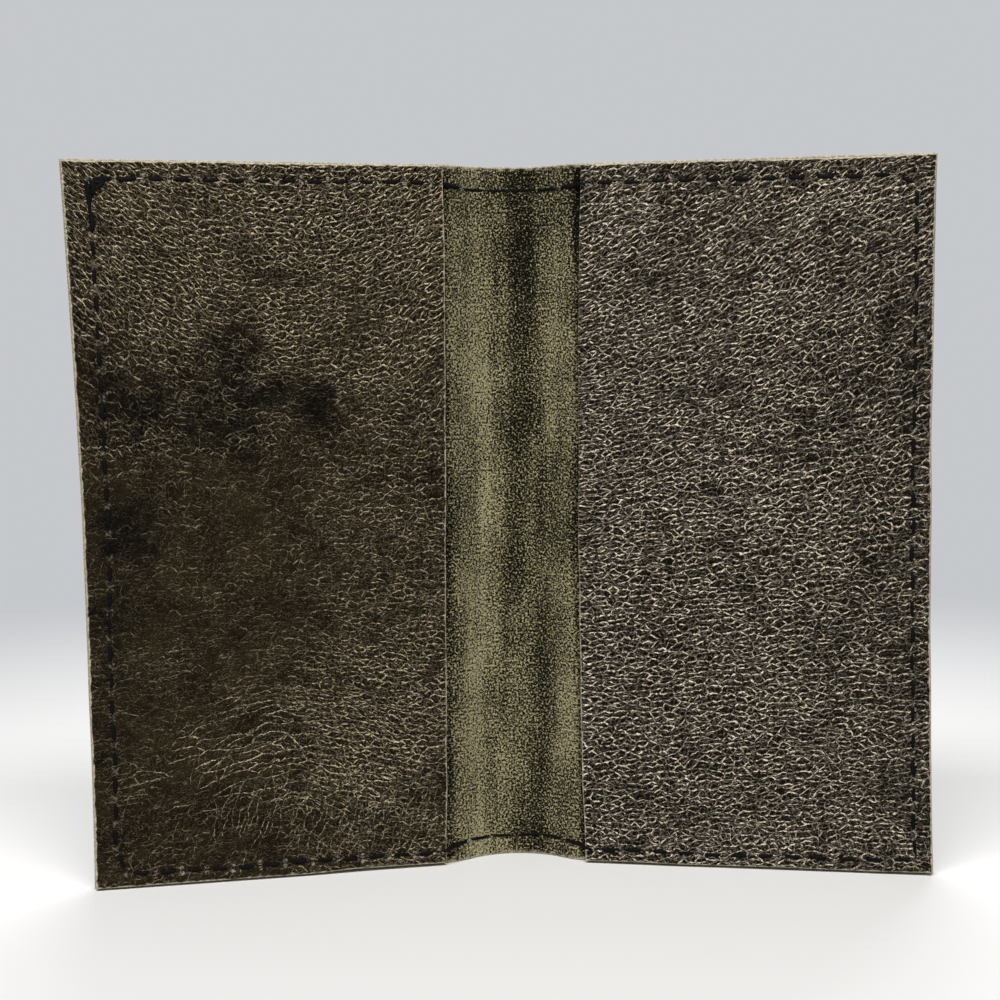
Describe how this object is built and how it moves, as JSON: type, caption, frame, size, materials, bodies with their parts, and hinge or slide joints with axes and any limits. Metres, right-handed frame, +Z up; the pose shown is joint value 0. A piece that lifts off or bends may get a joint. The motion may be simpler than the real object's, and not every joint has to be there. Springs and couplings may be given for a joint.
{
  "type": "business card holder",
  "caption": "Folding leather business card holder, a stitched cover with a card pocket on each wing, standing open like a book.",
  "frame": {"origin": "middle of the underside of the holder's box, on the surface it stands on", "axes": "+X across both wings, to the right seen from the pockets; +Y towards the spine's back; +Z up along the fold lines"},
  "size_m": [0.123, 0.0202, 0.103],
  "materials": {
    "cover_leather": "grain outside, olive suede flesh side inside",
    "left_pocket_leather": "fine grain, worn and stained, satin",
    "right_pocket_leather": "coarse pebble grain, satin",
    "thread": "black twisted sewing thread"
  },
  "bodies": {
    "spine": {"cover_spine": "cover_leather", "spine_top_face_thread": "thread", "spine_top_back_thread": "thread", "spine_bottom_face_thread": "thread", "spine_bottom_back_thread": "thread"},
    "left_wing": {"cover_left_panel": "cover_leather", "left_pocket": "left_pocket_leather", "left_face_thread": "thread", "left_back_thread": "thread"},
    "right_wing": {"cover_right_panel": "cover_leather", "right_pocket": "right_pocket_leather", "right_face_thread": "thread", "right_back_thread": "thread"}
  },
  "joints": [
    {"name": "left_fold", "type": "hinge", "parent": "spine", "child": "left_wing", "pos_m": [-0.00708, 0.00434, 0.0515], "axis": [0, 0, 1], "range_deg": [-12, 82]},
    {"name": "right_fold", "type": "hinge", "parent": "spine", "child": "right_wing", "pos_m": [0.01012, 0.00434, 0.0515], "axis": [0, 0, -1], "range_deg": [-12, 82]}
  ]
}
